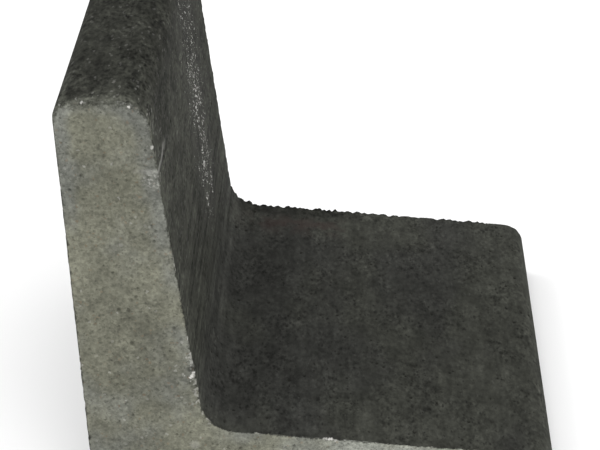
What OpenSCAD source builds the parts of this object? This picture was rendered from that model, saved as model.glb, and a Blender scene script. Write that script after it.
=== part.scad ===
// One unit of L-shaped retaining wall, cast in one piece of concrete.
// The stem stands along the back (-X), and the foot runs forward (+X) under the ground that it
// holds back. Units stand side by side along Y. The origin is under the middle of the foot,
// on the bed, with +Z up. All sizes are in millimetres.

/* [Overall size] */
// Length of the unit along the run of the wall
wall_length = 400; // [200:10:1000]
// Length of the foot, from the outer face of the stem to the toe
foot_length = 400; // [300:10:600]
// Height of the unit from the bed to the top of the stem
wall_height = 400; // [300:10:600]

/* [Stem] */
// Thickness of the stem at its top
stem_top_thickness = 74; // [50:1:90]
// Thickness of the stem where it meets the foot, which gives the inner face its batter
stem_root_thickness = 101; // [90:1:130]

/* [Foot] */
// Thickness of the foot where it meets the stem
foot_root_thickness = 89; // [80:1:120]
// Thickness of the foot at its toe, to which its top falls
foot_toe_thickness = 56; // [50:1:80]

/* [Rounded edges] */
// Radius between the top of the stem and its outer face
top_outer_radius = 14; // [5:1:20]
// Radius between the top of the stem and its inner face
top_inner_radius = 25; // [5:1:28]
// Radius of the fillet in the angle between the stem and the foot
inner_fillet_radius = 32; // [10:1:60]
// Radius along the top of the toe
toe_top_radius = 22; // [5:1:30]
// Radius along the bottom of the toe
toe_bottom_radius = 8; // [3:1:12]
// Radius along the bottom of the stem's outer face
heel_radius = 8; // [3:1:20]

/* [Hidden] */
$fn = 96;

back_x = -foot_length / 2;
toe_x = foot_length / 2;
// Each arc is this much oversize, so that it crosses the flats beside it and leaves no sliver
arc_overlap = 0.002;

// The section's corners, anticlockwise from the heel: each one's place and its radius
SECTION = [
    [[back_x, 0], heel_radius],
    [[toe_x, 0], toe_bottom_radius],
    [[toe_x, foot_toe_thickness], toe_top_radius],
    [[back_x + stem_root_thickness, foot_root_thickness], inner_fillet_radius],
    [[back_x + stem_top_thickness, wall_height], top_inner_radius],
    [[back_x, wall_height], top_outer_radius],
];

function unit(v) = v / norm(v);

// Where corner i is, counted round the section
function place(i) = SECTION[(i + len(SECTION)) % len(SECTION)][0];

// Unit vectors from corner i along the edges that go back and on from it
function edge_back(i) = unit(place(i - 1) - place(i));
function edge_on(i) = unit(place(i + 1) - place(i));

// A corner that points outwards turns left on the way round
function points_out(i) = cross(place(i) - place(i - 1), place(i + 1) - place(i)) > 0;

// Half of the angle between corner i's two edges
function half_angle(i) = acos(edge_back(i) * edge_on(i)) / 2;

// The piece between corner i and the arc that rounds it. It runs on past the corner, so that
// it overlaps the concrete where it is added, and clears it where it is taken away.
module corner_web(i) {
    radius = SECTION[i][1];
    tangent = radius / tan(half_angle(i));
    inwards = unit(edge_back(i) + edge_on(i));
    centre = place(i) + inwards * radius / sin(half_angle(i));
    difference() {
        polygon([
            place(i) - inwards * radius,
            place(i) + edge_back(i) * tangent,
            centre,
            place(i) + edge_on(i) * tangent,
        ]);
        translate(centre) circle(r = radius + arc_overlap);
    }
}

// The unit's section, seen along the run of the wall, with every corner rounded
module wall_section() {
    corners = [for (i = [0 : len(SECTION) - 1]) i];
    difference() {
        union() {
            polygon([for (i = corners) place(i)]);
            for (i = corners) if (!points_out(i)) corner_web(i);
        }
        for (i = corners) if (points_out(i)) corner_web(i);
    }
}

// The whole unit, one casting
module wall_unit() {
    color([0.24, 0.25, 0.23])
        translate([0, wall_length / 2, 0])
            rotate([90, 0, 0])
                linear_extrude(height = wall_length)
                    wall_section();
}

wall_unit();
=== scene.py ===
"""One unit of L-shaped retaining wall, pressed from dark concrete, and the studio it stands in.

The CAD part gives the unit's size and section. The unit is cast again here as one dense surface,
which is then worn, chipped and pitted in the way that pressed concrete is: along the arrises
(its sharp edges), on the rough ends that the press filled, and on the smooth formed faces that
slid out of the mould. All lengths are in metres.
"""

import itertools
import math
from typing import NamedTuple

import bmesh
import bpy
import numpy as np
from bpy.props import FloatProperty, FloatVectorProperty, IntProperty, PointerProperty
from mathutils import Euler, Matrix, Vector, kdtree


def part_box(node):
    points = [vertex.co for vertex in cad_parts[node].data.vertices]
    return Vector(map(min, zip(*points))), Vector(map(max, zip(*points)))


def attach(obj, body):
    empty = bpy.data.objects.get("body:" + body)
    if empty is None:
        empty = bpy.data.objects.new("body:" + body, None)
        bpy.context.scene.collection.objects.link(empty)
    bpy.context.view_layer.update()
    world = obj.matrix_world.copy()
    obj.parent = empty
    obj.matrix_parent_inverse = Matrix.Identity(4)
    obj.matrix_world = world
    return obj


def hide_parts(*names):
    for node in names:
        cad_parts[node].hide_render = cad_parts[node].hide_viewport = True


bl_info = {
    "name": "L-shaped retaining wall unit",
    "version": (1, 0, 0),
    "blender": (4, 5, 0),
    "location": "3D View > Sidebar > Retaining Wall",
    "description": "Casts one L-shaped retaining wall unit and sets it in a plain studio",
    "category": "Object",
}

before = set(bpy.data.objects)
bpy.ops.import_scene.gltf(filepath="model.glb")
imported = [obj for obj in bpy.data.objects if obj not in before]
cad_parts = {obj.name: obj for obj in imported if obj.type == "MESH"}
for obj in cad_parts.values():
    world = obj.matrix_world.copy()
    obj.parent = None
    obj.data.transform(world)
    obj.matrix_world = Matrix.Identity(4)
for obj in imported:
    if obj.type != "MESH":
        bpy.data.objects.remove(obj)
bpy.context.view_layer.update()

NODE = "wall_unit"
LOWEST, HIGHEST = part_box(NODE)
MM = 0.001

# How far lumps of squeezed out concrete may hang out over the far end
OVERHANG = 0.8 * MM
# The steps in which wear and lumps are worked out round an end
ROUND_STEP = 0.5 * MM


# ---- settings


class CastingSettings(bpy.types.PropertyGroup):
    """Sizes of the unit's surface relief"""

    mesh_step: FloatProperty(
        name="Mesh step",
        description="Width of the squares that the whole surface is first divided into",
        default=1 * MM,
        min=0.5 * MM,
        unit="LENGTH",
    )
    triangles: IntProperty(
        name="Triangles",
        description="Triangles that are kept when the finished surface is thinned out",
        default=190000,
        min=20000,
    )
    arris_wear: FloatProperty(
        name="Arris wear",
        description="Usual width of the worn strip along the arrises at both ends",
        default=0.9 * MM,
        unit="LENGTH",
    )
    burr_height: FloatProperty(
        name="Burr height",
        description="Height of the largest lumps along the far arris of the foot",
        default=2.3 * MM,
        unit="LENGTH",
    )
    sway: FloatProperty(
        name="Sway",
        description="How far the formed faces wander from flat",
        default=0.25 * MM,
        unit="LENGTH",
    )
    end_roughness: FloatProperty(
        name="End roughness",
        description="Depth of the coarse texture on the two ends",
        default=0.3 * MM,
        unit="LENGTH",
    )
    seed: IntProperty(
        name="Seed",
        description="Changes where the chips, pits and stains fall",
        default=11,
        min=0,
    )


class FinishSettings(bpy.types.PropertyGroup):
    """Colours of the concrete"""

    formed_cool: FloatVectorProperty(
        name="Formed, cool",
        description="Blue-black of the formed faces",
        subtype="COLOR",
        default=(0.0335, 0.0340, 0.0305),
        min=0,
        max=1,
    )
    formed_olive: FloatVectorProperty(
        name="Formed, olive",
        description="Olive cast of the formed faces",
        subtype="COLOR",
        default=(0.0352, 0.0362, 0.0303),
        min=0,
        max=1,
    )
    formed_stem: FloatVectorProperty(
        name="Formed, stem",
        description="Grey-green of the formed faces of the stem",
        subtype="COLOR",
        default=(0.0284, 0.0292, 0.0240),
        min=0,
        max=1,
    )
    end_khaki: FloatVectorProperty(
        name="End, khaki",
        description="Warm grey of the rough ends",
        subtype="COLOR",
        default=(0.175, 0.175, 0.136),
        min=0,
        max=1,
    )
    end_blue: FloatVectorProperty(
        name="End, blue-grey",
        description="Cool grey patches on the rough ends",
        subtype="COLOR",
        default=(0.172, 0.177, 0.156),
        min=0,
        max=1,
    )
    lime: FloatVectorProperty(
        name="Lime",
        description="White of lime spots and of fresh chips",
        subtype="COLOR",
        default=(0.62, 0.61, 0.58),
        min=0,
        max=1,
    )
    rust: FloatVectorProperty(
        name="Rust",
        description="Faint red-brown stain near the far edge of the foot",
        subtype="COLOR",
        default=(0.040, 0.028, 0.025),
        min=0,
        max=1,
    )


class StudioSettings(bpy.types.PropertyGroup):
    """The floor, the light and the camera"""

    floor_colour: FloatVectorProperty(
        name="Floor",
        description="Colour of the floor",
        subtype="COLOR",
        default=(0.93, 0.93, 0.93),
        min=0,
        max=1,
    )
    sky_strength: FloatProperty(
        name="Room light",
        description="Strength of the light that comes from all round",
        default=0.85,
    )
    camera_place: FloatVectorProperty(
        name="Camera place",
        description="Where the camera stands",
        subtype="TRANSLATION",
        unit="LENGTH",
        default=(0.05565, -1.48987, 1.01978),
    )
    camera_turn: FloatVectorProperty(
        name="Camera turn",
        description="How the camera is turned, as XYZ angles",
        subtype="EULER",
        default=(math.radians(60.43), math.radians(2.09), math.radians(1.76)),
    )
    camera_lens: FloatProperty(
        name="Lens",
        description="The camera's focal length in millimetres",
        default=111.75,
        unit="CAMERA",
    )


# ---- the section


class Section:
    """The unit's outline as seen along the wall, and where any point lies against it."""

    # Points that are measured at a time, so that they don't fill the memory
    AT_A_TIME = 40000

    def __init__(self, outline):
        self.start = outline
        span = np.roll(outline, -1, axis=0) - outline
        self.length = np.linalg.norm(span, axis=1)
        self.along = span / self.length[:, None]
        self.travelled = np.concatenate(([0], np.cumsum(self.length)[:-1]))
        self.total = self.length.sum()
        square = np.stack((self.along[:, 1], -self.along[:, 0]), axis=1)
        self.square = square + np.roll(square, 1, axis=0)

    def nearest(self, points):
        """How far round the outline each point is, how deep inside it, and the way out."""
        rounds, depths, squares = [], [], []
        for block in np.array_split(points, len(points) // self.AT_A_TIME + 1):
            away = block[:, None] - self.start
            part = np.clip((away * self.along).sum(2), 0, self.length)
            gap = np.linalg.norm(away - part[..., None] * self.along, axis=2)
            side = gap.argmin(1)
            here = np.arange(len(block))
            part = part[here, side]
            share = (part / self.length[side])[:, None]
            after = (side + 1) % len(self.start)
            square = self.square[side] * (1 - share) + self.square[after] * share
            rounds.append(self.travelled[side] + part)
            depths.append(gap[here, side])
            squares.append(square / np.linalg.norm(square, axis=1)[:, None])
        return np.concatenate(rounds), np.concatenate(depths), np.concatenate(squares)

    def round_to(self, x, z):
        """How far round the outline the place nearest (x, z) is."""
        return float(self.nearest(np.array([[x, z]]))[0][0])

    def apart(self, a, b):
        """The shorter way round between two places on the outline."""
        gap = np.abs(a - b) % self.total
        return np.minimum(gap, self.total - gap)


def cad_outline():
    """The CAD part's section as (x, z) points, anticlockwise."""
    shape = bmesh.new()
    shape.from_mesh(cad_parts[NODE].data)
    bmesh.ops.remove_doubles(shape, verts=shape.verts, dist=0.001 * MM)
    square_on = -0.99
    near = [face for face in shape.faces if face.normal.y < square_on]
    follows = {}
    for loop in itertools.chain.from_iterable(face.loops for face in near):
        if any(face.normal.y > square_on for face in loop.edge.link_faces):
            follows[loop.vert] = loop.link_loop_next.vert
    outline = [next(iter(follows))]
    while follows[outline[-1]] is not outline[0]:
        outline.append(follows[outline[-1]])
    points = np.array([(vert.co.x, vert.co.z) for vert in outline])
    shape.free()
    return points


def with_round_arcs(outline, longest_chord=6 * MM, parts=4):
    """The outline with each short chord divided, and bowed out to the arc that it spans."""
    back = outline - np.roll(outline, 1, axis=0)
    span = np.roll(outline, -1, axis=0) - outline
    cross = back[:, 0] * span[:, 1] - back[:, 1] * span[:, 0]
    turn = np.arctan2(cross, (back * span).sum(1))
    points = []
    for i, start in enumerate(outline):
        points.append(start)
        chord = np.linalg.norm(span[i])
        if chord > longest_chord:
            continue
        bend = max(turn[i], turn[(i + 1) % len(outline)], key=abs)
        square = np.array((span[i][1], -span[i][0])) / chord
        rise = chord / 2 * math.tan(bend / 4)
        for part in np.arange(1, parts) / parts:
            points.append(start + span[i] * part + square * rise * 4 * part * (1 - part))
    return np.array(points)


# ---- random values


class Grain:
    """Smooth random values through space, the same on every run."""

    CELLS = 64

    def __init__(self, seed):
        self.table = np.random.default_rng(seed).uniform(-1, 1, (self.CELLS,) * 3)

    def blobs(self, points, size):
        """A value from -1 to 1 at each point, in blobs of this size."""
        place = points / size
        cell = np.floor(place).astype(int)
        part = place - cell
        part = part * part * (3 - 2 * part)
        value = np.zeros(len(points))
        for corner in itertools.product((0, 1), repeat=3):
            at = (cell + corner) % self.CELLS
            share = np.where(corner, part, 1 - part).prod(1)
            value += share * self.table[at[:, 0], at[:, 1], at[:, 2]]
        return value

    def layers(self, points, size, count, keep=0.5):
        """Blobs, with smaller and fainter ones laid over them."""
        return sum(
            self.blobs(points, size / 2**layer) * keep**layer for layer in range(count)
        )

    def ripple(self, steps, size, count=3):
        """Layers of blobs along a line."""
        points = np.zeros((len(steps), 3))
        points[:, 0] = steps
        return self.layers(points, size, count=count)


def smooth_step(value, low, high):
    """0 below low, 1 above high, and a smooth rise between them."""
    share = np.clip((value - low) / (high - low), 0, 1)
    return share * share * (3 - 2 * share)


# ---- the surface and its relief


class Chip(NamedTuple):
    """A piece broken off an arris"""

    x: float
    z: float
    half_length: float
    depth: float


# Chips on the near end, mostly where the stem meets the foot
NEAR_CHIPS = (
    Chip(-0.1085, 0.1790, 3.0 * MM, 2.4 * MM),
    Chip(-0.1065, 0.1640, 4.0 * MM, 3.2 * MM),
    Chip(-0.1055, 0.1560, 4.5 * MM, 4.8 * MM),
    Chip(-0.1045, 0.1500, 2.8 * MM, 7.0 * MM),
    Chip(-0.1045, 0.1440, 3.0 * MM, 3.4 * MM),
    Chip(-0.1035, 0.1370, 3.5 * MM, 4.4 * MM),
    Chip(-0.1020, 0.1270, 5.0 * MM, 5.2 * MM),
    Chip(-0.0995, 0.1160, 4.0 * MM, 3.8 * MM),
    Chip(-0.0960, 0.1070, 3.5 * MM, 2.8 * MM),
    Chip(0.0097, 0.0770, 4.0 * MM, 1.8 * MM),
    Chip(-0.1390, 0.3990, 4.5 * MM, 2.6 * MM),
    Chip(-0.1600, 0.4000, 6.0 * MM, 2.4 * MM),
    Chip(-0.1750, 0.4000, 4.0 * MM, 2.8 * MM),
)


# The strip along the arrises that open pores keep clear of
RIM = 1 * MM


class Pits(NamedTuple):
    """Open pores of one kind"""

    ends: bool
    area_each: float
    smallest: float
    largest: float


PITS = (
    Pits(ends=True, area_each=170 * MM**2, smallest=1.1 * MM, largest=1.9 * MM),
    Pits(ends=False, area_each=420 * MM**2, smallest=1.1 * MM, largest=1.8 * MM),
)


def read_vectors(items, name):
    """One vector for each item as rows of numbers."""
    values = np.empty(len(items) * 3, np.float32)
    items.foreach_get(name, values)
    return values.reshape(-1, 3).astype(float)


class Skin:
    """The unit's dense surface while it is worked on."""

    def __init__(self, mesh, section):
        self.mesh = mesh
        self.section = section
        self.place = read_vectors(mesh.vertices, "co")
        self.outwards = read_vectors(mesh.vertex_normals, "vector")
        self.near = self.place[:, 1] < 0
        self.round, self.depth, self.square = section.nearest(self.place[:, [0, 2]])
        self.from_end = np.minimum(
            self.place[:, 1] - LOWEST.y, HIGHEST.y - OVERHANG - self.place[:, 1]
        )
        # Under 0 on the ends and over 0 on the formed faces
        self.arris = self.from_end - self.depth
        self.from_arris = np.abs(self.arris)
        self.fresh = np.zeros(len(self.place))
        self.pit = np.zeros(len(self.place))
        self.burr = np.zeros(len(self.place))

    def at_end(self):
        """The share of each point that belongs to a rough end."""
        return smooth_step(-self.arris, -0.5 * MM, 1.0 * MM)

    def move(self, amount):
        """Moves every point out by an amount of its own."""
        self.place += self.outwards * amount[:, None]

    def finish(self):
        """Writes the worked surface back to its mesh."""
        self.mesh.vertices.foreach_set("co", self.place.astype(np.float32).ravel())
        for name in ("arris", "fresh", "pit", "burr"):
            layer = self.mesh.attributes.new(name, "FLOAT", "POINT")
            layer.data.foreach_set("value", getattr(self, name).astype(np.float32))
        self.mesh.update()


def random_chips(section, random, count=46):
    """Small chips at random places round an end: (way round, half length, depth)."""
    at = random.uniform(0, section.total, count)
    half_length = random.uniform(1.5, 4.5, count) * MM
    depth = random.uniform(1.2, 2.4, count) * MM
    return zip(at, half_length, depth)


def worn_widths(section, steps, chips, usual, grain):
    """The width of the worn strip at each step round an end."""
    width = usual * (1 + 0.5 * grain.ripple(steps, 9 * MM))
    for at, half_length, depth in chips:
        reach = section.apart(steps, at) / half_length
        width = np.maximum(width, depth * np.sqrt(np.clip(1 - reach**2, 0, None)))
    return width


def wear_arrises(skin, casting, grain, random):
    """Wears the arris round each end, and knocks chips out of it."""
    section = skin.section
    steps = np.arange(0, section.total, ROUND_STEP)
    for near in (True, False):
        chips = list(random_chips(section, random))
        if near:
            chips += [(section.round_to(c.x, c.z), c.half_length, c.depth) for c in NEAR_CHIPS]
        widths = worn_widths(section, steps, chips, casting.arris_wear, grain)
        mine = skin.near == near
        width = np.interp(skin.round, steps, widths)
        width *= 1 + 0.5 * grain.layers(skin.place, 4 * MM, count=2, keep=0.7)
        cut = np.where(mine, np.clip(width - skin.from_arris, 0, None), 0) / 2
        inwards = 1 if near else -1
        skin.place[:, 1] += cut * inwards
        skin.place[:, 0] -= cut * skin.square[:, 0]
        skin.place[:, 2] -= cut * skin.square[:, 1]
        skin.fresh += smooth_step(cut, 0.25 * MM, 0.8 * MM)


def burr_heights(section, steps, tallest, random):
    """The height of the far arris's lumps at each step round the section."""
    height = np.zeros(len(steps))
    at = 0.0
    while at < section.total:
        at += random.uniform(2.5, 9.5) * MM
        half_width = random.uniform(1.6, 4.6) * MM
        reach = section.apart(steps, at) / half_width
        lump = tallest * random.uniform(0.25, 1.0) * np.clip(1 - reach**2, 0, None) ** 0.6
        height = np.maximum(height, lump)
    return height


# Where along X the lumps begin on the stem, and from where to where they rise to full height on
# the foot, shrink past its middle, and end by the toe
LUMPS_BEGIN = LOWEST.x + 0.075
LUMPS_RISE = (-0.095, -0.084)
LUMPS_SHRINK = (0.0, 0.060)
LUMPS_END = (0.160, 0.180)
# The lumps' share of their full height by the toe, and up the fillet and the stem
SHARE_BY_TOE = 0.5
SHARE_UP_STEM = 0.25


def raise_burrs(skin, casting, grain, random):
    """Raises lumps of squeezed out concrete along the far arris, most of all on the foot."""
    steps = np.arange(0, skin.section.total, ROUND_STEP)
    heights = burr_heights(skin.section, steps, casting.burr_height, random)
    height = np.interp(skin.round, steps, heights)
    x = skin.place[:, 0]
    faces_up_or_in = (skin.square[:, 0] > -0.2) & (skin.square.sum(axis=1) > 0.8)
    share = smooth_step(x, *LUMPS_RISE) * (1 - smooth_step(x, *LUMPS_END))
    share *= 1 - (1 - SHARE_BY_TOE) * smooth_step(x, *LUMPS_SHRINK)
    share = np.maximum(share, np.where(x < LUMPS_RISE[1], SHARE_UP_STEM, 0))
    height *= np.where((x > LUMPS_BEGIN) & faces_up_or_in, share, 0)
    height *= 1 + 0.3 * grain.blobs(skin.place, 1.6 * MM)
    back = 3.4 * MM * (1 + 0.3 * grain.blobs(skin.place, 6 * MM))
    fade = 1 - smooth_step(skin.from_arris, 0.3 * back, back)
    lift = np.where(skin.near, 0, height * fade)
    skin.place[:, 0] += lift * skin.square[:, 0]
    skin.place[:, 2] += lift * skin.square[:, 1]
    skin.place[:, 1] += np.minimum(lift * 0.5, OVERHANG)
    skin.burr = smooth_step(lift, 0.2 * MM, 1.2 * MM)


def sway_faces(skin, casting, grain):
    """Lets the formed faces wander a little, and roughens the two ends."""
    end = skin.at_end()
    sway = 0.5 + 0.4 * grain.layers(skin.place, 70 * MM, count=2)
    coarse = 0.5 + 0.5 * grain.layers(skin.place, 11 * MM, count=4, keep=0.6) / 1.6
    drag = 0.5 + 0.5 * grain.layers(skin.place * (1, 0.5, 1), 6 * MM, count=2)
    drag_depth = 0.08 * MM
    formed = casting.sway * sway + drag_depth * drag
    rough = casting.sway * sway + casting.end_roughness * coarse
    skin.move(-(formed * (1 - end) + rough * end))


def press_pits(skin, random):
    """Opens round pores in the ends and in the formed faces."""
    tree = kdtree.KDTree(len(skin.place))
    for i, place in enumerate(skin.place):
        tree.insert(place, i)
    tree.balance()
    sink = np.zeros(len(skin.place))
    area = surface_area(skin.mesh) / len(skin.place)
    for kind in PITS:
        clear = (skin.arris < -RIM) if kind.ends else (skin.arris > RIM)
        clear &= skin.place[:, 2] > LOWEST.z + 2 * RIM
        choice = np.flatnonzero(clear)
        count = int(len(choice) * area / kind.area_each)
        for centre in random.choice(choice, count, replace=False):
            radius = kind.smallest + (kind.largest - kind.smallest) * random.random() ** 3
            for _, i, gap in tree.find_range(skin.place[centre], radius):
                sink[i] = max(sink[i], 0.9 * radius * (1 - (gap / radius) ** 2))
    skin.move(-sink)
    skin.pit = smooth_step(sink, 0.1 * MM, 0.9 * MM)


def surface_area(mesh):
    """The whole area of a mesh."""
    area = np.empty(len(mesh.polygons), np.float32)
    mesh.polygons.foreach_get("area", area)
    return float(area.sum())


# ---- the casting


def solid_block(name, outline):
    """A new object: the outline drawn out from the near end to the far end."""
    shape = bmesh.new()
    rim = [shape.verts.new((x, LOWEST.y, z)) for x, z in outline]
    end = shape.faces.new(rim)
    drawn = bmesh.ops.extrude_face_region(shape, geom=[end])["geom"]
    moved = [part for part in drawn if isinstance(part, bmesh.types.BMVert)]
    length = HIGHEST.y - OVERHANG - LOWEST.y
    bmesh.ops.translate(shape, vec=(0, length, 0), verts=moved)
    bmesh.ops.recalc_face_normals(shape, faces=shape.faces)
    mesh = bpy.data.meshes.new(name)
    shape.to_mesh(mesh)
    shape.free()
    block = bpy.data.objects.new(name, mesh)
    bpy.context.scene.collection.objects.link(block)
    return block


def apply_modifiers(piece):
    """Replaces the piece's mesh with what its modifiers make of it."""
    depsgraph = bpy.context.evaluated_depsgraph_get()
    shown = piece.evaluated_get(depsgraph)
    piece.data = bpy.data.meshes.new_from_object(
        shown, preserve_all_data_layers=True, depsgraph=depsgraph
    )
    piece.modifiers.clear()


def divide_surface(piece, step):
    """Divides the whole surface into even squares."""
    remesh = piece.modifiers.new("Even squares", "REMESH")
    remesh.mode = "VOXEL"
    remesh.voxel_size = step
    apply_modifiers(piece)


def thin_out(piece, triangles):
    """Joins up triangles where the surface is smooth."""
    thinner = piece.modifiers.new("Thin out", "DECIMATE")
    thinner.ratio = triangles / (2 * len(piece.data.polygons))
    thinner.use_collapse_triangulate = True
    apply_modifiers(piece)


def work_surface(piece, section, casting):
    """Gives the divided surface its wear, burrs, roughness and pores."""
    skin = Skin(piece.data, section)
    grain = Grain(casting.seed)
    random = np.random.default_rng(casting.seed)
    wear_arrises(skin, casting, grain, random)
    raise_burrs(skin, casting, grain, random)
    sway_faces(skin, casting, grain)
    press_pits(skin, random)
    skin.finish()


# Room in the flat layout for both ends beyond the strips, and for the near end's stem and foot
ENDS_ROOM = 0.220
STEM_ROOM = 0.104
FOOT_ROOM = 0.095


def flat_ends(place, corner):
    """Both ends laid flat and bent round a corner, with the far stem along the near foot."""
    near = place[:, 1] < 0
    along_foot = place[:, 0] - LOWEST.x
    up_stem = place[:, 2] - LOWEST.z
    u = corner - np.where(near, along_foot, up_stem + STEM_ROOM)
    v = corner - np.where(near, up_stem, along_foot + FOOT_ROOM)
    return u, v


def unwrap(mesh, section, gap=6 * MM):
    """Lays the surface out flat: the faces round the unit in two strips, and the ends by them."""
    length = HIGHEST.y - LOWEST.y
    first_seam = section.round_to(HIGHEST.x, LOWEST.z)
    second_seam = section.round_to(LOWEST.x, HIGHEST.z)
    first_width = (second_seam - first_seam) % section.total
    strip_width = max(first_width, section.total - first_width)
    corners = np.empty(len(mesh.loops), np.int32)
    mesh.loops.foreach_get("vertex_index", corners)
    place = read_vectors(mesh.vertices, "co")
    middle = read_vectors(mesh.polygons, "center")
    round_to, depth, _ = section.nearest(middle[:, [0, 2]])
    from_end = np.minimum(middle[:, 1] - LOWEST.y, HIGHEST.y - middle[:, 1])
    is_end = np.repeat(from_end < depth, 3)
    way = np.repeat((round_to - first_seam) % section.total, 3)
    first = way < first_width
    corner_way, _, _ = section.nearest(place[:, [0, 2]])
    corner_way = corner_way[corners]
    place = place[corners]
    # A corner may lie just past a seam, so it is counted from its triangle's middle
    shift = (corner_way - first_seam - way + section.total / 2) % section.total
    corner_way = way + shift - section.total / 2
    u = np.where(first, corner_way, corner_way - first_width)
    v = HIGHEST.y - place[:, 1] + np.where(first, 0, length + gap)
    end_u, end_v = flat_ends(place, strip_width + gap + ENDS_ROOM)
    u = np.where(is_end, end_u, u)
    v = np.where(is_end, end_v, v)
    whole = max(u.max() - u.min(), v.max() - v.min()) + 2 * gap
    flat = np.stack((u - u.min() + gap, v - v.min() + gap), axis=1) / whole
    layer = mesh.uv_layers.new(name="OFBake")
    layer.uv.foreach_set("vector", flat.astype(np.float32).ravel())


# ---- the concrete


# Painted shade inside the pinholes, inside the ends' small holes, and inside the open pores
PINHOLE_SHADE = (0.009, 0.009, 0.008)
END_HOLE_SHADE = (0.050, 0.050, 0.042)
OPEN_PORE_SHADE = (0.018, 0.018, 0.015)
# Colour of the ends' brown grains, and painted shade on the squeezed out lumps and in the near
# end's notch
BROWN_GRAIN = (0.19, 0.12, 0.07)
LUMP_SHADE = (0.012, 0.012, 0.011)
NOTCH_SHADE = (0.030, 0.031, 0.027)


class Recipe:
    """Adds nodes to a material, each joined to what it is made from."""

    # The least and the most that a cloudy value usually is
    CLOUDY = (0.32, 0.68)

    def __init__(self, material):
        material.use_nodes = True
        self.tree = material.node_tree
        self.tree.nodes.clear()

    def add(self, kind, inputs, **settings):
        """A node of this kind, with its inputs joined or set."""
        node = self.tree.nodes.new(kind)
        for name, value in settings.items():
            setattr(node, name, value)
        for name, value in inputs.items():
            if isinstance(value, bpy.types.NodeSocket):
                self.tree.links.new(value, node.inputs[name])
            else:
                node.inputs[name].default_value = value
        return node

    def place(self):
        """Where the shaded point is on the unit."""
        return self.add("ShaderNodeTexCoord", {}).outputs["Object"]

    def parts(self, vector):
        """The three numbers of a vector or colour."""
        split = self.add("ShaderNodeSeparateXYZ", {0: vector})
        return split.outputs["X"], split.outputs["Y"], split.outputs["Z"]

    def measure(self, name):
        """A value that the casting has at each point."""
        return self.add("ShaderNodeAttribute", {}, attribute_name=name).outputs["Fac"]

    def noise(self, vector, size, layers=2, keep=0.5):
        """Cloudy values about 0.5, with blobs of this size."""
        inputs = {"Vector": vector, "Scale": 1 / size, "Detail": layers, "Roughness": keep}
        return self.add("ShaderNodeTexNoise", inputs).outputs["Fac"]

    def cells(self, vector, size):
        """Distance from the middle of the nearest random cell, and that cell's own chances."""
        node = self.add("ShaderNodeTexVoronoi", {"Vector": vector, "Scale": 1 / size})
        return node.outputs["Distance"], self.parts(node.outputs["Color"])

    def ramp(self, value, low, high, bottom=0.0, top=1.0):
        """Value from low to high made into bottom to top, with smooth ends."""
        inputs = {0: value, 1: low, 2: high, 3: bottom, 4: top}
        node = self.add("ShaderNodeMapRange", inputs, interpolation_type="SMOOTHSTEP")
        return node.outputs["Result"]

    def line(self, value, low, high, bottom=0.0, top=1.0, clamp=True):
        """Value from low to high made into bottom to top in a straight line."""
        inputs = {0: value, 1: low, 2: high, 3: bottom, 4: top}
        return self.add("ShaderNodeMapRange", inputs, clamp=clamp).outputs["Result"]

    def between(self, share, bottom, top):
        """Bottom where the share is 0, top where it is 1, and evenly from one to the other."""
        return self.line(share, 0, 1, bottom=bottom, top=top)

    def maths(self, operation, *values):
        """One operation that is worked from the first value through all the others."""
        if len(values) == 1:
            node = self.add("ShaderNodeMath", {0: values[0]}, operation=operation)
            return node.outputs["Value"]
        result = values[0]
        for value in values[1:]:
            inputs = {0: result, 1: value}
            result = self.add("ShaderNodeMath", inputs, operation=operation).outputs["Value"]
        return result

    def times(self, *values):
        """The product of several values."""
        return self.maths("MULTIPLY", *values)

    def each_way(self, amount):
        """1 less this amount, and 1 more this amount."""
        return self.maths("SUBTRACT", 1, amount), self.maths("ADD", 1, amount)

    def band(self, value, low, high, fade):
        """1 between low and high, fading to 0 outside them."""
        return self.times(
            self.ramp(value, low - fade, low + fade), self.ramp(value, high + fade, high - fade)
        )

    def mix(self, share, first, second, kind="MIX"):
        """A mix of two colours."""
        node = self.add("ShaderNodeMix", {0: share}, data_type="RGBA", blend_type=kind)
        for index, value in ((6, first), (7, second)):
            if isinstance(value, bpy.types.NodeSocket):
                self.tree.links.new(value, node.inputs[index])
            else:
                node.inputs[index].default_value = (*value, 1)
        return node.outputs[2]

    def scaled(self, colour, factor):
        """The colour made lighter or darker by a factor."""
        grey = self.add("ShaderNodeCombineColor", {0: factor, 1: factor, 2: factor})
        return self.mix(1.0, colour, grey.outputs["Color"], "MULTIPLY")

    def scaled_on(self, share, colour, factor):
        """The colour made lighter or darker by a factor, by this share of it."""
        return self.scaled(colour, self.between(share, 1, factor))

    def shade(self, colour, value, amount):
        """The colour shaded by cloudy values, by up to about this amount each way."""
        factor = self.line(value, *self.CLOUDY, *self.each_way(amount), clamp=False)
        return self.scaled(colour, factor)

    def gap_to(self, place, point):
        """How far the shaded point is from a given one."""
        inputs = {0: place, 1: point}
        node = self.add("ShaderNodeVectorMath", inputs, operation="DISTANCE")
        return node.outputs["Value"]


def crooked(recipe, place, size, by):
    """The place pushed about, so that what is drawn on it loses its round or straight edges."""
    push = recipe.add("ShaderNodeTexNoise", {"Vector": place, "Scale": 1 / size, "Detail": 2})
    even = recipe.add(
        "ShaderNodeVectorMath", {0: push.outputs["Color"], 1: (0.5,) * 3}, operation="SUBTRACT"
    )
    inputs = {0: even.outputs["Vector"], 1: (2 * by,) * 3, 2: place}
    pushed = recipe.add("ShaderNodeVectorMath", inputs, operation="MULTIPLY_ADD")
    return pushed.outputs["Vector"]


def stretched(recipe, place, along):
    """The place scaled along each axis, so that what is drawn on it is drawn out."""
    node = recipe.add("ShaderNodeVectorMath", {0: place, 1: along}, operation="MULTIPLY")
    return node.outputs["Vector"]


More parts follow.
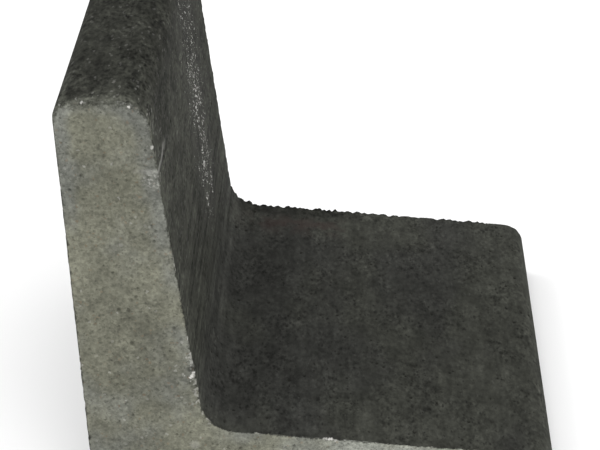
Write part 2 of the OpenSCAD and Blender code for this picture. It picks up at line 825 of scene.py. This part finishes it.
def pores(recipe, place, spacing, radius, share):
    """1 inside small round pores, of which only a share of all that could be are there."""
    distance, (chance, width, _) = recipe.cells(place, spacing)
    there = recipe.maths("LESS_THAN", chance, share)
    reach = recipe.between(width, 0.5 * radius / spacing, radius / spacing)
    inside = recipe.ramp(recipe.maths("DIVIDE", distance, reach), 1.15, 0.55)
    return recipe.times(inside, there)


def pinholes(recipe, at):
    """1 inside pinholes of two sizes, which stand in crowds. They have no depth in the mesh, and
    their darkness is painted shade.
    """
    fewer = recipe.times(at.crowd, 0.40)
    large = pores(recipe, at.crooked, spacing=5.2 * MM, radius=2.1 * MM, share=fewer)
    more = recipe.times(at.crowd, 0.45)
    small = pores(recipe, at.crooked, spacing=3.0 * MM, radius=1.3 * MM, share=more)
    return recipe.maths("MAXIMUM", large, small)


class Texture:
    """What the concrete's colours and its finest relief are worked out from."""

    def __init__(self, recipe, drawn_out):
        """Clouds, flecks and packed grains, drawn out along the wall by this much."""
        self.place = recipe.place()
        self.x, self.y, self.z = recipe.parts(self.place)
        self.arris = recipe.measure("arris")
        drawn = stretched(recipe, self.place, (1, 1 / drawn_out, 1))
        self.cloud = recipe.noise(drawn, 80 * MM, layers=2)
        self.mottle = recipe.noise(drawn, 14 * MM, layers=3, keep=0.6)
        self.fleck = recipe.noise(drawn, 3.6 * MM, layers=2, keep=0.55)
        self.crowd = recipe.ramp(recipe.noise(drawn, 26 * MM, layers=3, keep=0.6), 0.40, 0.62)
        self.crooked = crooked(recipe, drawn, size=2.2 * MM, by=1.3 * MM)
        grain_distance, self.grain_chances = recipe.cells(self.crooked, 1.9 * MM)
        self.grain_rise = recipe.line(grain_distance, 0.0, 0.75, bottom=1.0, top=0.0)


def on_inner_face(recipe, at):
    """1 by the inner face of the stem, and 0 on the foot and on the outer face."""
    return recipe.band(at.x, -0.150, -0.088, fade=0.010)


def on_stem_top(recipe, at):
    """1 on the top of the stem, and 0 below it."""
    return recipe.ramp(at.z, 0.365, 0.396)


def formed_colour(recipe, finish, at):
    """The dark faces that slid out of the mould."""
    colour = mottled_faces(recipe, finish, at)
    colour = drag_marks(recipe, colour, at)
    colour = pored_faces(recipe, colour, finish, at)
    colour = dark_and_pale_parts(recipe, colour, at)
    colour = paler_by_arrises(recipe, colour, at)
    colour = rust_stain(recipe, colour, finish, at)
    return squeezed_edge_shade(recipe, colour, at)


def mottled_faces(recipe, finish, at):
    """The formed faces' own colours, more mottled on the stem than on the foot."""
    to_toe = recipe.line(at.x, -0.12, 0.20, bottom=-0.12, top=0.12)
    olive = recipe.ramp(recipe.maths("ADD", at.cloud, to_toe), 0.38, 0.62)
    foot = recipe.mix(olive, finish.formed_cool, finish.formed_olive)
    up_stem = recipe.ramp(at.z, 0.09, 0.16)
    colour = recipe.mix(up_stem, foot, finish.formed_stem)
    strength = recipe.ramp(at.z, 0.09, 0.39, bottom=0.85, top=1.40)
    in_crowds = recipe.times(strength, recipe.between(at.crowd, 0.7, 1.3))
    colour = recipe.shade(colour, at.cloud, recipe.times(strength, 0.16))
    colour = recipe.shade(colour, at.mottle, recipe.times(strength, 0.30))
    colour = recipe.shade(colour, at.fleck, recipe.times(in_crowds, 0.34))
    spread = recipe.each_way(recipe.times(in_crowds, 0.12))
    return recipe.scaled(colour, recipe.between(at.grain_chances[0], *spread))


def drag_marks(recipe, colour, at):
    """The colour with drag marks along the wall, most of all in and above the fillet."""
    marks = recipe.noise(stretched(recipe, at.place, (1, 0.04, 1)), 6.5 * MM, layers=3, keep=0.5)
    near_fillet = recipe.band(at.z, 0.095, 0.230, fade=0.030)
    strength = recipe.times(near_fillet, on_inner_face(recipe, at), 0.38)
    return recipe.shade(colour, marks, recipe.maths("ADD", strength, 0.09))


def pored_faces(recipe, colour, finish, at):
    """The colour with pale grains, pinholes in painted shade and, on the stem's top, dark
    blotches.
    """
    pale_grain = recipe.ramp(at.grain_chances[1], 0.950, 1.0)
    paler_up = recipe.ramp(at.z, 0.12, 0.39, bottom=0.02, top=0.08)
    colour = recipe.mix(recipe.times(pale_grain, paler_up), colour, finish.lime)
    # Painted shade in the pinholes, which have no depth in the mesh
    colour = recipe.mix(recipe.times(pinholes(recipe, at), 0.60), colour, PINHOLE_SHADE)
    crowded = recipe.times(at.crowd, 0.55)
    blotch = pores(recipe, at.crooked, spacing=9 * MM, radius=4.5 * MM, share=crowded)
    return recipe.scaled_on(recipe.times(blotch, on_stem_top(recipe, at)), colour, 0.62)


def dark_and_pale_parts(recipe, colour, at):
    """The colour with painted shade in front of the fillet, and paler at both sides than in the
    middle.
    """
    before_fillet = recipe.band(at.x, -0.090, -0.035, fade=0.025)
    # Painted shade on the foot, in the corner before the fillet
    painted_hollow_shade = recipe.times(before_fillet, recipe.ramp(at.z, 0.16, 0.10))
    colour = recipe.scaled_on(painted_hollow_shade, colour, 0.84)
    # Across the foot
    far_side = recipe.ramp(at.y, 0.02, 0.13, bottom=0.95, top=1.10)
    near_side = recipe.ramp(at.y, -0.05, -0.12, bottom=0.95, top=1.0)
    on_foot = recipe.ramp(at.z, 0.13, 0.10)
    colour = recipe.scaled_on(on_foot, colour, recipe.maths("MAXIMUM", far_side, near_side))
    # Across the lower part of the stem's inner face
    far_side = recipe.ramp(at.y, 0.02, 0.11, bottom=0.84, top=1.24)
    near_side = recipe.ramp(at.y, -0.12, -0.19, bottom=0.84, top=1.12)
    lower_part = recipe.band(at.z, 0.13, 0.22, fade=0.04)
    on_stem = recipe.times(lower_part, on_inner_face(recipe, at))
    return recipe.scaled_on(on_stem, colour, recipe.maths("MAXIMUM", far_side, near_side))


def paler_by_arrises(recipe, colour, at):
    """The colour paler along the arrises, most of all high up on the stem, and painted shade on
    the stem's top.
    """
    low_down = recipe.ramp(at.arris, 60 * MM, 1 * MM, bottom=1.0, top=1.12)
    high_up = recipe.times(
        recipe.ramp(at.arris, 60 * MM, 12 * MM, bottom=0.94, top=1.32),
        recipe.ramp(at.arris, 16 * MM, 1 * MM, bottom=1.0, top=2.20),
    )
    height = recipe.ramp(at.z, 0.30, 0.36)
    colour = recipe.scaled(colour, recipe.between(height, low_down, high_up))
    # Painted shade: the stem's top is dimmer far in from both ends
    painted_top_shade = recipe.ramp(at.arris, 95 * MM, 50 * MM, bottom=0.85, top=1.0)
    return recipe.scaled_on(on_stem_top(recipe, at), colour, painted_top_shade)


def rust_stain(recipe, colour, finish, at):
    """The colour with a faint red-brown stain near the far edge of the foot."""
    along_edge = recipe.band(at.y, 0.148, 0.180, fade=0.014)
    by_fillet = recipe.band(at.x, -0.080, 0.015, fade=0.030)
    on_foot = recipe.ramp(at.z, 0.12, 0.10)
    patchy = recipe.ramp(recipe.noise(at.place, 16 * MM, layers=3), 0.36, 0.62)
    stain = recipe.times(along_edge, by_fillet, on_foot, patchy)
    return recipe.mix(recipe.times(stain, 0.55), colour, finish.rust)


def squeezed_edge_shade(recipe, colour, at):
    """Painted shadow along the far edge under the squeezed out lumps, and painted shade on them.
    """
    along_edge = recipe.ramp(at.y, 0.170, 0.190)
    by_fillet = recipe.band(at.x, -0.095, 0.020, fade=0.020)
    on_foot = recipe.ramp(at.z, 0.14, 0.11)
    uneven = recipe.noise(at.place, 9 * MM, layers=3)
    patchy = recipe.ramp(uneven, 0.30, 0.60, bottom=0.4, top=1.0)
    # Painted shadow under the lumps along the far edge
    painted_brow_shadow = recipe.times(along_edge, by_fillet, on_foot, patchy)
    colour = recipe.scaled_on(painted_brow_shadow, colour, 0.40)
    # Painted shade on the lumps themselves
    return recipe.mix(recipe.times(recipe.measure("burr"), 0.6), colour, LUMP_SHADE)


def end_colour(recipe, finish, at):
    """The rough ends: khaki, bluer on the foot and by the stem's top, and paler to the toe."""
    depth = recipe.times(at.arris, -1)
    by_arris = recipe.ramp(depth, 20 * MM, 6 * MM)
    rim = recipe.times(by_arris, recipe.ramp(at.z, 0.26, 0.31, bottom=0.10, top=0.21))
    foot = recipe.ramp(at.x, -0.14, -0.07, bottom=0.0, top=0.175)
    patch = recipe.noise(at.place, 55 * MM, layers=3, keep=0.5)
    lean = recipe.maths("ADD", patch, recipe.maths("MAXIMUM", rim, foot))
    colour = recipe.mix(recipe.ramp(lean, 0.48, 0.78), finish.end_khaki, finish.end_blue)
    from_heel = recipe.ramp(at.x, -0.20, -0.12, bottom=1.04, top=0.96)
    to_toe = recipe.ramp(at.x, -0.13, 0.03, bottom=1.0, top=1.50)
    colour = recipe.scaled(recipe.scaled(colour, from_heel), to_toe)
    on_rim = recipe.ramp(depth, 4.5 * MM, 0.5 * MM)
    rubbed = recipe.times(on_rim, recipe.ramp(at.z, 0.13, 0.09, bottom=0.02, top=0.12))
    colour = recipe.scaled(colour, recipe.maths("ADD", rubbed, 1))
    colour = recipe.shade(colour, at.cloud, 0.14)
    colour = recipe.shade(colour, recipe.noise(at.place, 36 * MM, layers=2), 0.08)
    colour = recipe.shade(colour, at.mottle, 0.10)
    colour = recipe.shade(colour, at.fleck, 0.20)
    return grains_and_holes(recipe, colour, finish, at)


def grains_and_holes(recipe, colour, finish, at):
    """The rough ends' colour with uneven, white and brown grains, and small holes in painted
    shade.
    """
    tone, white, brown = at.grain_chances
    colour = recipe.scaled(colour, recipe.between(tone, 0.84, 1.16))
    bright = recipe.times(recipe.ramp(white, 0.988, 1.0), 0.22)
    colour = recipe.mix(bright, colour, finish.lime)
    colour = recipe.mix(recipe.times(recipe.ramp(brown, 0.975, 0.995), 0.30), colour, BROWN_GRAIN)
    # Painted shade in the ends' small holes, which have no depth in the mesh
    crowded = recipe.times(pinholes(recipe, at), 0.35)
    lone = pores(recipe, at.crooked, spacing=3.6 * MM, radius=1.3 * MM, share=0.35)
    holes = recipe.maths("MAXIMUM", crowded, recipe.times(lone, 0.45))
    return recipe.mix(holes, colour, END_HOLE_SHADE)


def flakes(recipe, place, size, dense, most):
    """1 on ragged flakes of about this size, which cover more where they are dense."""
    uneven = recipe.noise(place, size, layers=4, keep=0.75)
    edge = recipe.between(dense, 0.78, most)
    return recipe.ramp(recipe.maths("SUBTRACT", uneven, edge), 0.0, 0.05)


def wandering(recipe, at, size, by):
    """Cloudy values from this much one way to as much the other way."""
    return recipe.line(recipe.noise(at.place, size, layers=2), 0.3, 0.7, bottom=-by, top=by)


def white_flake_band(recipe, at):
    """White flakes, in an upright band on the inner face of the stem."""
    low, high = 0.17, 0.37
    middle = recipe.line(at.z, low, high, bottom=0.048, top=0.082)
    middle = recipe.maths("ADD", middle, wandering(recipe, at, size=45 * MM, by=15 * MM))
    away = recipe.maths("ABSOLUTE", recipe.maths("SUBTRACT", at.y, middle))
    reach = recipe.line(at.z, low, high, bottom=0.090, top=0.135)
    across = recipe.ramp(recipe.maths("DIVIDE", away, reach), 1.0, 0.1)
    lower_end = recipe.ramp(at.z, 0.120, 0.195)
    upper_end = recipe.ramp(at.z, 0.398, 0.385)
    thinner_up = recipe.ramp(at.z, 0.350, 0.240, bottom=0.88, top=1.0)
    on_stem = recipe.band(at.x, -0.140, -0.092, fade=0.003)
    uneven = recipe.noise(at.place, 20 * MM, layers=3, keep=0.6)
    patchy = recipe.ramp(uneven, 0.36, 0.56, bottom=0.6, top=1.0)
    dense = recipe.times(across, lower_end, upper_end, thinner_up, on_stem, patchy)
    # The flakes are drawn out aslant, along the wall and down towards its far end
    slant = recipe.maths("ADD", at.z, recipe.times(at.y, 0.5))
    drawn = recipe.add("ShaderNodeCombineXYZ", {0: at.x, 1: recipe.times(at.y, 0.36), 2: slant})
    drawn = drawn.outputs["Vector"]
    large = flakes(recipe, drawn, size=4.4 * MM, dense=dense, most=0.580)
    small = recipe.times(flakes(recipe, drawn, size=2.5 * MM, dense=dense, most=0.540), 0.62)
    veil = recipe.times(dense, 0.02)
    shown = recipe.maths("ADD", recipe.maths("MAXIMUM", large, small), veil)
    return recipe.times(shown, recipe.ramp(dense, 0.0, 0.25))


# The middle of a rubbed patch on the stem's near arris
RUBBED_PATCH = (-0.1255, LOWEST.y, 0.3300)


def scrape(recipe, at):
    """White flakes on a rubbed patch of the stem's arris, and a mark drawn on from it."""
    level = recipe.maths("ADD", at.z, wandering(recipe, at, size=24 * MM, by=2.5 * MM))
    on_level = recipe.band(level, 0.3345, 0.3385, fade=1.5 * MM)
    by_near_end = recipe.ramp(at.y, -0.130, -0.165)
    streaks = recipe.noise(stretched(recipe, at.place, (1, 0.25, 1)), 4 * MM, layers=3, keep=0.6)
    broken = recipe.ramp(streaks, 0.40, 0.60, bottom=0.4, top=1.0)
    mark = recipe.times(on_level, by_near_end, broken, 0.20)
    inside = recipe.ramp(recipe.gap_to(at.place, RUBBED_PATCH), 12 * MM, 4 * MM)
    flaky = recipe.ramp(recipe.noise(at.place, 2.4 * MM, layers=3, keep=0.7), 0.50, 0.62)
    patch = recipe.times(inside, flaky, 0.34)
    on_stem = recipe.band(at.x, -0.140, -0.100, fade=0.003)
    return recipe.times(recipe.maths("MAXIMUM", mark, patch), on_stem)


class Spot(NamedTuple):
    """A small spot of another colour on the near end"""

    x: float
    z: float
    radius: float
    share: float


# Pale grains, fresh chips and a faint patch. Three spots by the stem's root make up one sliver.
PALE_STONES = (
    Spot(-0.1080, 0.1423, 1.3 * MM, 0.9),
    Spot(-0.1063, 0.1438, 1.8 * MM, 0.95),
    Spot(-0.1045, 0.1455, 1.9 * MM, 0.95),
    Spot(-0.1101, 0.1622, 1.0 * MM, 0.3),
    Spot(-0.1125, 0.1440, 0.9 * MM, 0.4),
    Spot(-0.1025, 0.1290, 1.4 * MM, 0.4),
    Spot(0.0018, 0.0774, 1.0 * MM, 0.5),
    Spot(0.0042, 0.0772, 1.1 * MM, 0.8),
    Spot(0.0065, 0.0770, 1.2 * MM, 0.95),
    Spot(0.0086, 0.0771, 1.3 * MM, 0.95),
    Spot(0.0118, 0.0754, 1.1 * MM, 0.5),
    Spot(-0.1391, 0.3945, 1.2 * MM, 0.8),
    Spot(-0.1756, 0.3990, 1.2 * MM, 0.6),
    Spot(-0.1240, 0.3590, 1.5 * MM, 0.5),
    Spot(-0.1787, 0.3434, 1.1 * MM, 0.3),
    Spot(-0.1087, 0.0726, 4.5 * MM, 0.14),
)
# Painted shade in the notch over that sliver, and in small holes about it
PAINTED_HOLLOW_SPOTS = (
    Spot(-0.1060, 0.1500, 3.2 * MM, 0.85),
    Spot(-0.1080, 0.1492, 1.8 * MM, 0.7),
    Spot(-0.1036, 0.1400, 1.9 * MM, 0.7),
    Spot(-0.1085, 0.1628, 0.9 * MM, 0.5),
    Spot(-0.1061, 0.1605, 0.9 * MM, 0.5),
    Spot(-0.1123, 0.1520, 0.9 * MM, 0.5),
    Spot(-0.1098, 0.1545, 0.8 * MM, 0.4),
)


def spots(recipe, at, places, squeeze=0.6):
    """How much of a spot's colour shows at each point. A spot goes deeper than it is wide."""
    squeezed = stretched(recipe, at.crooked, (1, squeeze, 1))
    middle_y = LOWEST.y + 0.4 * MM
    share = 0.0
    for spot in places:
        gap = recipe.gap_to(squeezed, (spot.x, squeeze * middle_y, spot.z))
        mine = recipe.ramp(gap, 1.3 * spot.radius, 0.6 * spot.radius, bottom=0, top=spot.share)
        share = recipe.maths("MAXIMUM", mine, share)
    return share


def share_of_end(recipe, at):
    """1 on the rough ends and 0 on the formed faces, which meet in a ragged, speckled line."""
    uneven = recipe.noise(at.place, 5 * MM, layers=4, keep=0.7)
    ragged = recipe.line(uneven, 0.34, 0.66, bottom=-1, top=1, clamp=False)
    top = recipe.ramp(at.z, 0.380, 0.398)
    swing = recipe.times(recipe.between(top, 1.3 * MM, 5.0 * MM), ragged)
    lap = recipe.between(top, 0.8 * MM, 3.6 * MM)
    reach = recipe.between(top, 1.3 * MM, 4.5 * MM)
    line = recipe.maths("DIVIDE", recipe.maths("ADD", at.arris, swing, lap), reach)
    broken = recipe.times(recipe.measure("fresh"), recipe.between(top, 1.0, 0.35))
    return recipe.maths("MAXIMUM", recipe.ramp(line, 1, -1), broken)


def concrete_colour(recipe, finish, at, formed_at, is_end):
    """The colour of the whole unit, with its chips, painted shade in its pores and notch, white
    flakes and spots.
    """
    formed = formed_colour(recipe, finish, formed_at)
    colour = recipe.mix(is_end, formed, end_colour(recipe, finish, at))
    crumbly = recipe.ramp(at.fleck, 0.44, 0.58)
    fewer_on_top = recipe.ramp(at.z, 0.36, 0.39, bottom=0.32, top=0.12)
    crumbs = recipe.times(recipe.measure("fresh"), crumbly, fewer_on_top)
    colour = recipe.mix(crumbs, colour, finish.lime)
    # Painted shade in the open pores, over the dents that are pressed into the mesh
    painted_hollow_shade = recipe.times(recipe.measure("pit"), recipe.between(is_end, 0.8, 0.3))
    colour = recipe.mix(painted_hollow_shade, colour, OPEN_PORE_SHADE)
    colour = recipe.mix(white_flake_band(recipe, formed_at), colour, finish.lime)
    colour = recipe.mix(scrape(recipe, formed_at), colour, finish.lime)
    # Painted shade in the notch and the small holes by the stem's root
    colour = recipe.mix(spots(recipe, at, PAINTED_HOLLOW_SPOTS), colour, NOTCH_SHADE)
    return recipe.mix(spots(recipe, at, PALE_STONES), colour, finish.lime)


def grain_relief(recipe, at):
    """The height of the finest relief: packed grains, and the flecks among them."""
    return recipe.maths("ADD", at.grain_rise, recipe.times(at.fleck, 2.0))


def concrete(finish):
    """The one concrete of the unit: dark formed faces and lighter rough ends."""
    material = bpy.data.materials.new("Concrete")
    recipe = Recipe(material)
    at = Texture(recipe, drawn_out=1.0)
    formed_at = Texture(recipe, drawn_out=1.7)
    is_end = share_of_end(recipe, at)
    rough = recipe.times(grain_relief(recipe, at), is_end)
    smooth = recipe.times(grain_relief(recipe, formed_at), recipe.between(is_end, 0.22, 0))
    relief = {
        "Height": recipe.maths("ADD", rough, smooth),
        "Strength": 1.0,
        "Distance": 0.35 * MM,
    }
    shader = recipe.add(
        "ShaderNodeBsdfPrincipled",
        {
            "Base Color": concrete_colour(recipe, finish, at, formed_at, is_end),
            "Roughness": recipe.line(at.mottle, 0.3, 0.7, bottom=0.84, top=0.97),
            "Diffuse Roughness": 1.0,
            "Normal": recipe.add("ShaderNodeBump", relief).outputs["Normal"],
            "Specular IOR Level": 0.06,
        },
    )
    recipe.add("ShaderNodeOutputMaterial", {"Surface": shader.outputs["BSDF"]})
    return material


# ---- the studio


def plain_material(name, colour):
    """A matt material with a faint unevenness."""
    material = bpy.data.materials.new(name)
    recipe = Recipe(material)
    uneven = recipe.noise(recipe.place(), 0.25, layers=2, keep=0.5)
    shader = recipe.add(
        "ShaderNodeBsdfPrincipled",
        {
            "Base Color": (*colour, 1),
            "Roughness": recipe.between(uneven, 0.87, 0.93),
            "Specular IOR Level": 0.0,
        },
    )
    recipe.add("ShaderNodeOutputMaterial", {"Surface": shader.outputs["BSDF"]})
    return material


def lay_floor(studio, half_width=12):
    """A wide pale floor under the unit."""
    shape = bmesh.new()
    bmesh.ops.create_grid(shape, x_segments=1, y_segments=1, size=half_width)
    mesh = bpy.data.meshes.new("floor")
    shape.to_mesh(mesh)
    shape.free()
    mesh.materials.append(plain_material("Pale floor", studio.floor_colour))
    floor = bpy.data.objects.new("floor", mesh)
    floor.location.z = LOWEST.z
    bpy.context.scene.collection.objects.link(floor)


class Softbox(NamedTuple):
    """A square lamp that faces the unit, placed by angles in degrees"""

    name: str
    azimuth: float
    elevation: float
    distance: float
    size: float
    power: float


SOFTBOXES = (
    Softbox("front", 8, 48, 2.7, 1.6, 30),
    Softbox("right", 70, 35, 2.8, 1.8, 13),
    Softbox("left", -105, 40, 2.8, 1.8, 24),
)


def hang_softbox(box):
    """Sets up one softbox round the middle of the unit."""
    middle = (Vector(LOWEST) + Vector(HIGHEST)) / 2
    turn = Euler((math.radians(-box.elevation), 0, math.radians(box.azimuth)))
    out = turn.to_matrix() @ Vector((0, -1, 0))
    lamp = bpy.data.lights.new(box.name, "AREA")
    lamp.size = box.size
    lamp.energy = box.power
    piece = bpy.data.objects.new(box.name, lamp)
    piece.location = middle + out * box.distance
    piece.rotation_euler = (-out).to_track_quat("-Z", "Y").to_euler()
    bpy.context.scene.collection.objects.link(piece)


def light_room(studio):
    """Even white light from all round."""
    world = bpy.data.worlds.new("Room")
    world.use_nodes = True
    background = world.node_tree.nodes["Background"]
    background.inputs["Color"].default_value = (1, 1, 1, 1)
    background.inputs["Strength"].default_value = studio.sky_strength
    bpy.context.scene.world = world


def set_camera(studio):
    """The camera, which looks down on the near end and on the foot."""
    lens = bpy.data.cameras.new("camera")
    lens.lens = studio.camera_lens
    lens.sensor_width = 36
    lens.clip_start = 0.05
    lens.clip_end = 60
    camera = bpy.data.objects.new("camera", lens)
    camera.location = studio.camera_place
    camera.rotation_euler = studio.camera_turn
    bpy.context.scene.collection.objects.link(camera)
    bpy.context.scene.camera = camera


# ---- operators


class WALL_OT_cast_unit(bpy.types.Operator):
    """Cast the wall unit in concrete, in place of its plain CAD solid"""

    bl_idname = "wall.cast_unit"
    bl_label = "Cast wall unit"
    bl_options = {"REGISTER", "UNDO"}

    def execute(self, context):
        casting = context.scene.wall_casting
        outline = cad_outline()
        section = Section(outline)
        unit = solid_block("concrete_wall_unit", with_round_arcs(outline))
        coarser = 1
        divide_surface(unit, casting.mesh_step * coarser)
        work_surface(unit, section, casting)
        thin_out(unit, casting.triangles)
        unit.data.shade_smooth()
        unwrap(unit.data, section)
        unit.data.materials.append(concrete(context.scene.wall_finish))
        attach(unit, "root")
        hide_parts(NODE)
        return {"FINISHED"}


class WALL_OT_set_studio(bpy.types.Operator):
    """Lay the floor, hang the lamps and set up the camera"""

    bl_idname = "wall.set_studio"
    bl_label = "Set studio"
    bl_options = {"REGISTER", "UNDO"}

    def execute(self, context):
        studio = context.scene.wall_studio
        lay_floor(studio)
        light_room(studio)
        for box in SOFTBOXES:
            hang_softbox(box)
        set_camera(studio)
        context.scene.view_settings.view_transform = "Standard"
        return {"FINISHED"}


class WALL_PT_retaining_wall(bpy.types.Panel):
    """Casting, finish and studio of the wall unit"""

    bl_label = "Retaining Wall"
    bl_idname = "WALL_PT_retaining_wall"
    bl_space_type = "VIEW_3D"
    bl_region_type = "UI"
    bl_category = "Retaining Wall"

    def draw(self, context):
        scene = context.scene
        for title, settings in (
            ("Casting", scene.wall_casting),
            ("Finish", scene.wall_finish),
            ("Studio", scene.wall_studio),
        ):
            box = self.layout.box()
            box.label(text=title)
            for name in settings.__annotations__:
                box.prop(settings, name)
        self.layout.operator(WALL_OT_cast_unit.bl_idname)
        self.layout.operator(WALL_OT_set_studio.bl_idname)


CLASSES = (
    CastingSettings,
    FinishSettings,
    StudioSettings,
    WALL_OT_cast_unit,
    WALL_OT_set_studio,
    WALL_PT_retaining_wall,
)


def register():
    """Adds the settings, the operators and the panel."""
    for each in CLASSES:
        bpy.utils.register_class(each)
    bpy.types.Scene.wall_casting = PointerProperty(type=CastingSettings)
    bpy.types.Scene.wall_finish = PointerProperty(type=FinishSettings)
    bpy.types.Scene.wall_studio = PointerProperty(type=StudioSettings)


def unregister():
    """Takes away the settings, the operators and the panel."""
    del bpy.types.Scene.wall_studio
    del bpy.types.Scene.wall_finish
    del bpy.types.Scene.wall_casting
    for each in reversed(CLASSES):
        bpy.utils.unregister_class(each)


def main():
    """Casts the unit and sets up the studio."""
    register()
    bpy.ops.wall.cast_unit()
    bpy.ops.wall.set_studio()


if __name__ == "__main__":
    main()
